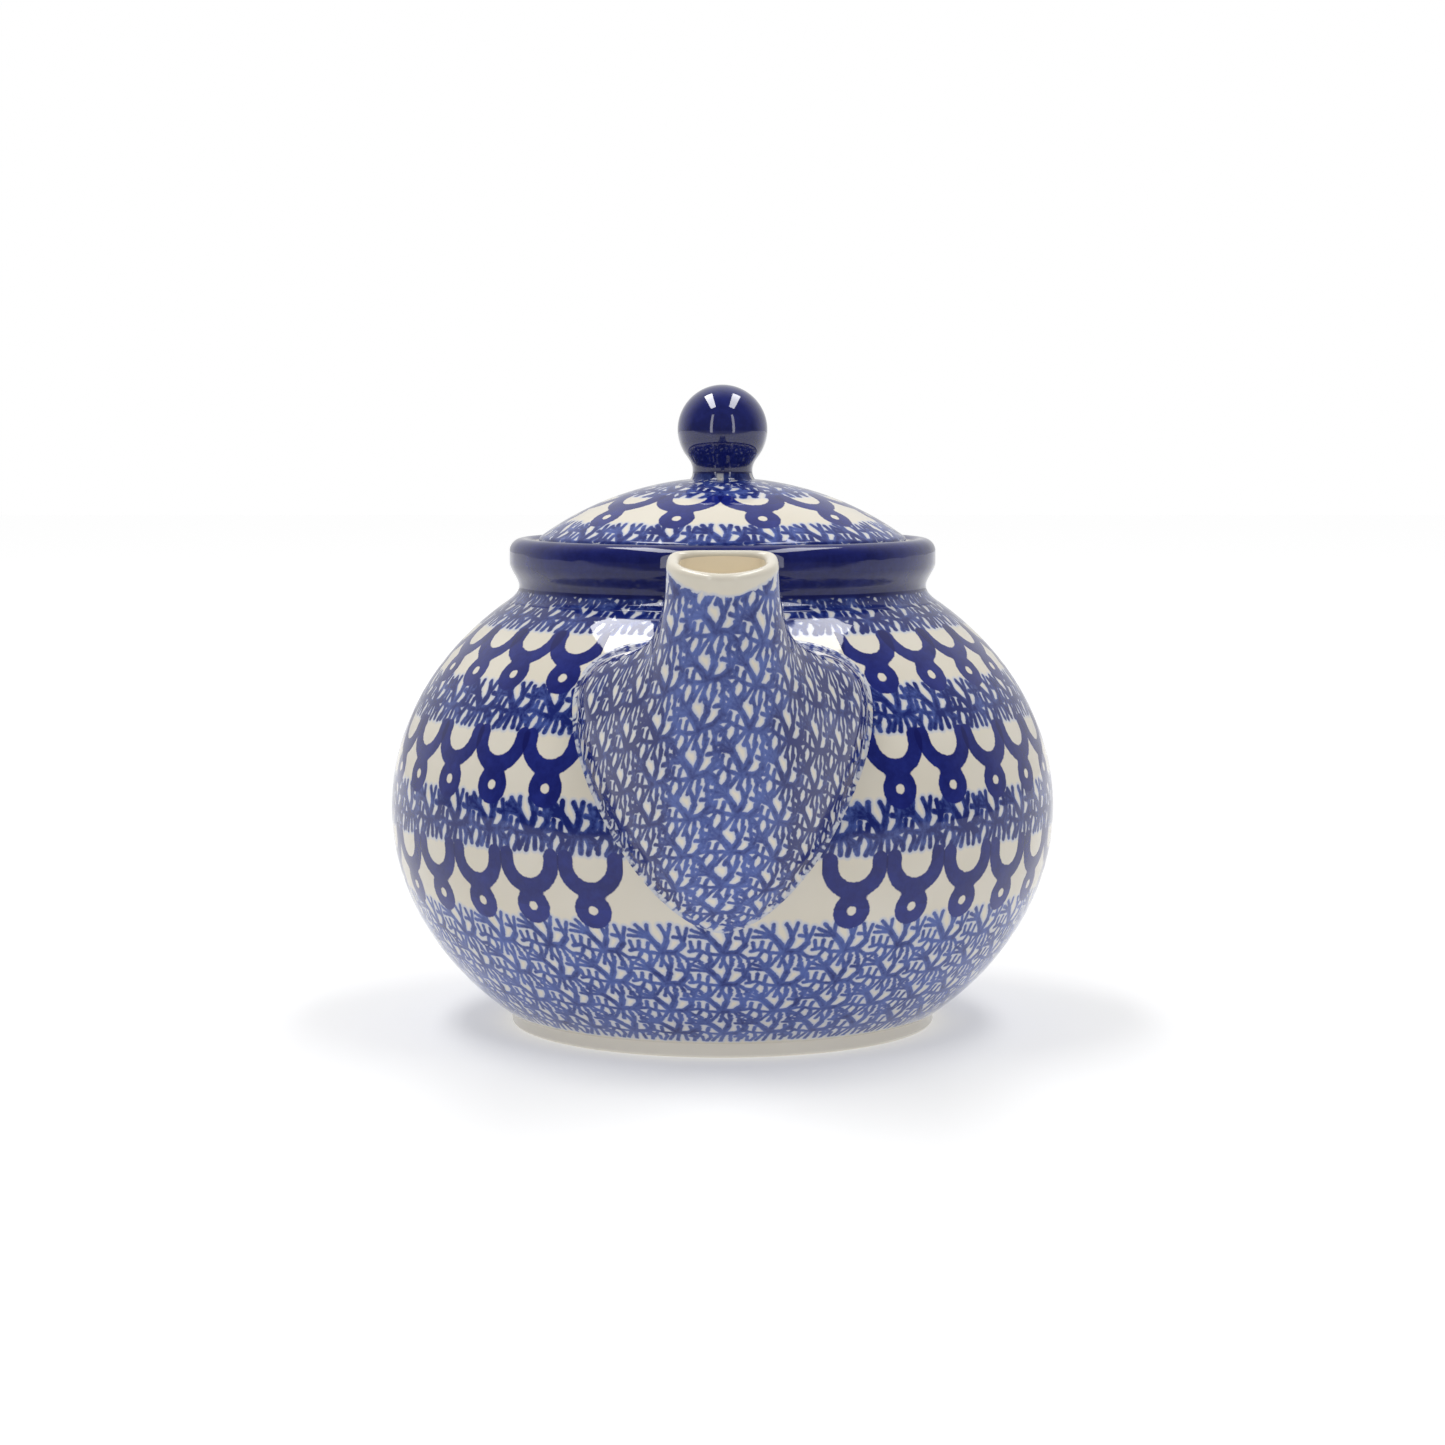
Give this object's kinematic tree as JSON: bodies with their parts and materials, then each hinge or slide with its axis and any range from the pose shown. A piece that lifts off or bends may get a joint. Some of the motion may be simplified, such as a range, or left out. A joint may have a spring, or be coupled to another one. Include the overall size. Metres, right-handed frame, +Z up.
{
  "type": "stoneware teapot",
  "caption": "Round glazed teapot with a rolled collar, a wide upswept spout, a loop handle and a loose domed lid with a ball knob; stamped blue on cream.",
  "frame": {"origin": "on the pot's axis, on the plane that the foot ring stands on", "axes": "+Z up along the pot's axis; the spout points to -Y and the handle to +Y; +X is to the right when the spout faces the viewer"},
  "size_m": [0.16, 0.2468, 0.154],
  "materials": {
    "stamped_glaze": "cobalt stamps on cream under a clear gloss glaze",
    "cobalt_glaze": "solid cobalt under a clear gloss glaze",
    "clear_glaze": "cream clay under a clear gloss glaze",
    "cream_foot": "cream clay, wiped clean of glaze where it stands"
  },
  "bodies": {
    "pot": {"pot_body": "stamped_glaze", "foot_ring": "cream_foot", "rim_collar": "cobalt_glaze", "spout": "stamped_glaze", "spout_strainer": "clear_glaze", "handle": "stamped_glaze"},
    "lid": {"lid_dome": "stamped_glaze", "lid_flange": "clear_glaze", "lid_knob": "cobalt_glaze"}
  },
  "joints": [
    {"name": "lid_lift", "type": "slide", "parent": "pot", "child": "lid", "axis": [0, 0, 1], "range_m": [0, 0.06]}
  ]
}
